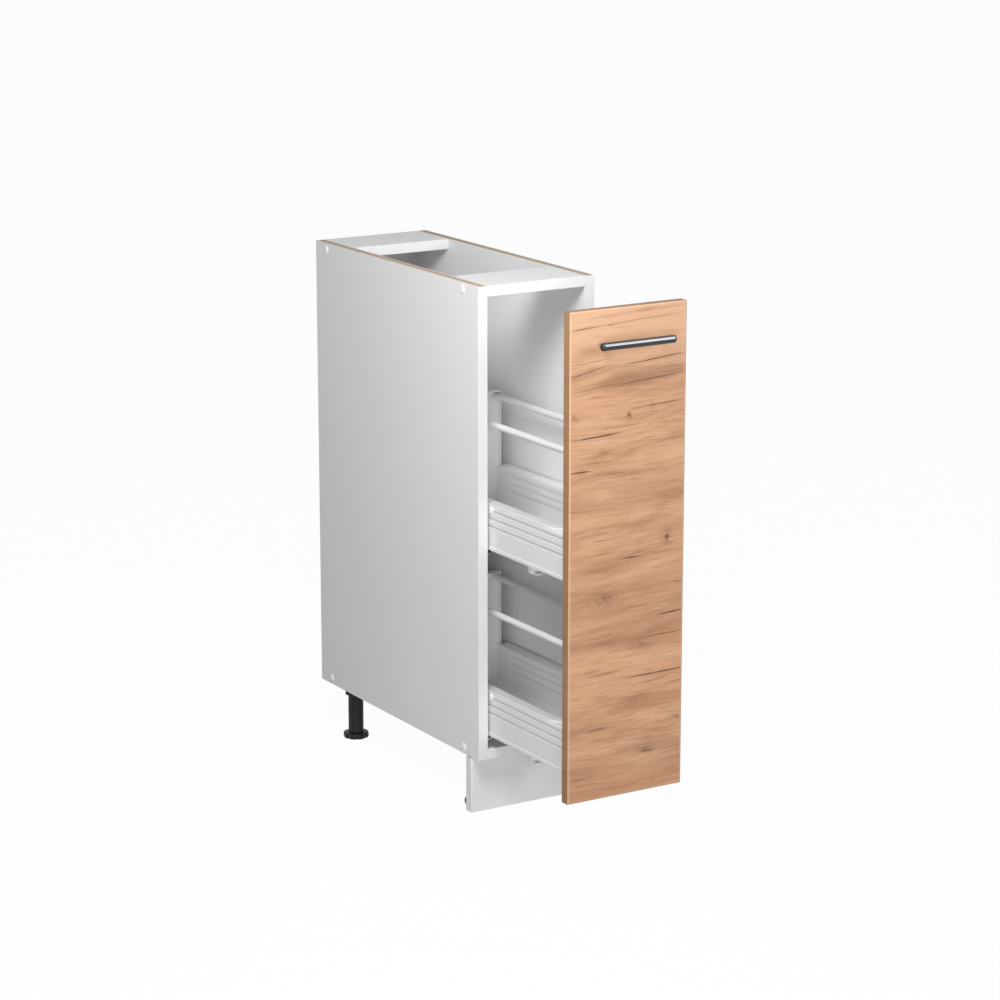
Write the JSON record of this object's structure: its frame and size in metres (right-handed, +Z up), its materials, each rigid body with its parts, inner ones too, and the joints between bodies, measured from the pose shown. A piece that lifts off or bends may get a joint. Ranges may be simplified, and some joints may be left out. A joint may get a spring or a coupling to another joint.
{
  "type": "pull-out pantry cabinet",
  "caption": "Narrow base cabinet on legs with a wood-look door, bar handle and wire-railed trays that slide out together on concealed full-extension runners.",
  "frame": {"origin": "centre of the pulled-out unit's bounding box at floor level", "axes": "+Z up, -Y the way the door faces and pulls out, +Y to the wall, X across the front"},
  "size_m": [0.2036, 0.7738, 0.81],
  "materials": {
    "white_board": "white melamine on chipboard, raw board along the top edges",
    "back_board": "white-faced thin fibreboard",
    "oak_board": "rustic oak decor, grain across the door",
    "white_cap": "glossy white",
    "black_plastic": "black moulded plastic",
    "zinc_steel": "bright zinc plating",
    "carriage_plastic": "natural plastic",
    "white_steel": "white powder coat",
    "white_plastic": "white satin plastic",
    "polished_metal": "polished",
    "bumper_rubber": "clear soft rubber"
  },
  "bodies": {
    "carcass": {"left_side_panel": "white_board", "right_side_panel": "white_board", "bottom_panel": "white_board", "front_top_rail": "white_board", "rear_top_rail": "white_board", "plinth": "white_board", "back_panel": "back_board", "screw_caps": "white_cap", "leg_front_left": "black_plastic", "leg_front_right": "black_plastic", "leg_rear_left": "black_plastic", "leg_rear_right": "black_plastic", "plinth_clip_left": "black_plastic", "plinth_clip_right": "black_plastic", "cabinet_rail_lower_left": "zinc_steel", "cabinet_rail_lower_right": "zinc_steel", "cabinet_rail_upper_left": "zinc_steel", "cabinet_rail_upper_right": "zinc_steel", "connecting_screws": "zinc_steel", "runner_screws": "zinc_steel"},
    "pull_out": {"door_front": "oak_board", "handle_bar": "polished_metal", "handle_posts": "polished_metal", "handle_screws": "zinc_steel", "door_bumpers": "bumper_rubber", "tray_lower": "white_plastic", "tray_upper": "white_plastic", "side_glides": "white_plastic", "release_catches": "white_plastic", "bracket_screws": "zinc_steel", "rear_upright_lower": "white_steel", "rear_upright_upper": "white_steel", "front_bracket_lower": "white_steel", "front_bracket_upper": "white_steel", "tray_wall_lower_left": "white_steel", "tray_wall_lower_right": "white_steel", "tray_wall_upper_left": "white_steel", "tray_wall_upper_right": "white_steel", "gallery_rail_lower_left": "white_steel", "gallery_rail_lower_right": "white_steel", "gallery_rail_upper_left": "white_steel", "gallery_rail_upper_right": "white_steel", "drawer_rail_lower_left": "zinc_steel", "drawer_rail_lower_right": "zinc_steel", "drawer_rail_upper_left": "zinc_steel", "drawer_rail_upper_right": "zinc_steel"},
    "middle_rails": {"mid_rail_lower_left": "zinc_steel", "mid_rail_lower_right": "zinc_steel", "mid_rail_upper_left": "zinc_steel", "mid_rail_upper_right": "zinc_steel"},
    "outer_carriage_set": {"outer_carriages": "carriage_plastic", "outer_rollers": "zinc_steel"},
    "inner_carriage_set": {"inner_carriages": "carriage_plastic", "inner_rollers": "zinc_steel"},
    "foot_front_left": {"foot_front_left": "black_plastic"},
    "foot_front_right": {"foot_front_right": "black_plastic"},
    "foot_rear_left": {"foot_rear_left": "black_plastic"},
    "foot_rear_right": {"foot_rear_right": "black_plastic"}
  },
  "joints": [
    {"name": "pull_out_slide", "type": "slide", "parent": "carcass", "child": "pull_out", "axis": [0, -1, 0], "range_m": [-0.226, 0.174]},
    {"name": "middle_rail_slide", "type": "slide", "parent": "carcass", "child": "middle_rails", "axis": [0, -1, 0], "range_m": [-0.113, 0.087]},
    {"name": "outer_carriage_slide", "type": "slide", "parent": "carcass", "child": "outer_carriage_set", "axis": [0, -1, 0], "range_m": [-0.0565, 0.0435]},
    {"name": "inner_carriage_slide", "type": "slide", "parent": "carcass", "child": "inner_carriage_set", "axis": [0, -1, 0], "range_m": [-0.1695, 0.1305]},
    {"name": "foot_front_left_adjust", "type": "slide", "parent": "carcass", "child": "foot_front_left", "axis": [0, 0, -1], "range_m": [0, 0.025]},
    {"name": "foot_front_right_adjust", "type": "slide", "parent": "carcass", "child": "foot_front_right", "axis": [0, 0, -1], "range_m": [0, 0.025]},
    {"name": "foot_rear_left_adjust", "type": "slide", "parent": "carcass", "child": "foot_rear_left", "axis": [0, 0, -1], "range_m": [0, 0.025]},
    {"name": "foot_rear_right_adjust", "type": "slide", "parent": "carcass", "child": "foot_rear_right", "axis": [0, 0, -1], "range_m": [0, 0.025]}
  ],
  "couplings": [
    {"joint": "middle_rail_slide", "follows": "pull_out_slide", "ratio": 0.5},
    {"joint": "outer_carriage_slide", "follows": "pull_out_slide", "ratio": 0.25},
    {"joint": "inner_carriage_slide", "follows": "pull_out_slide", "ratio": 0.75}
  ]
}
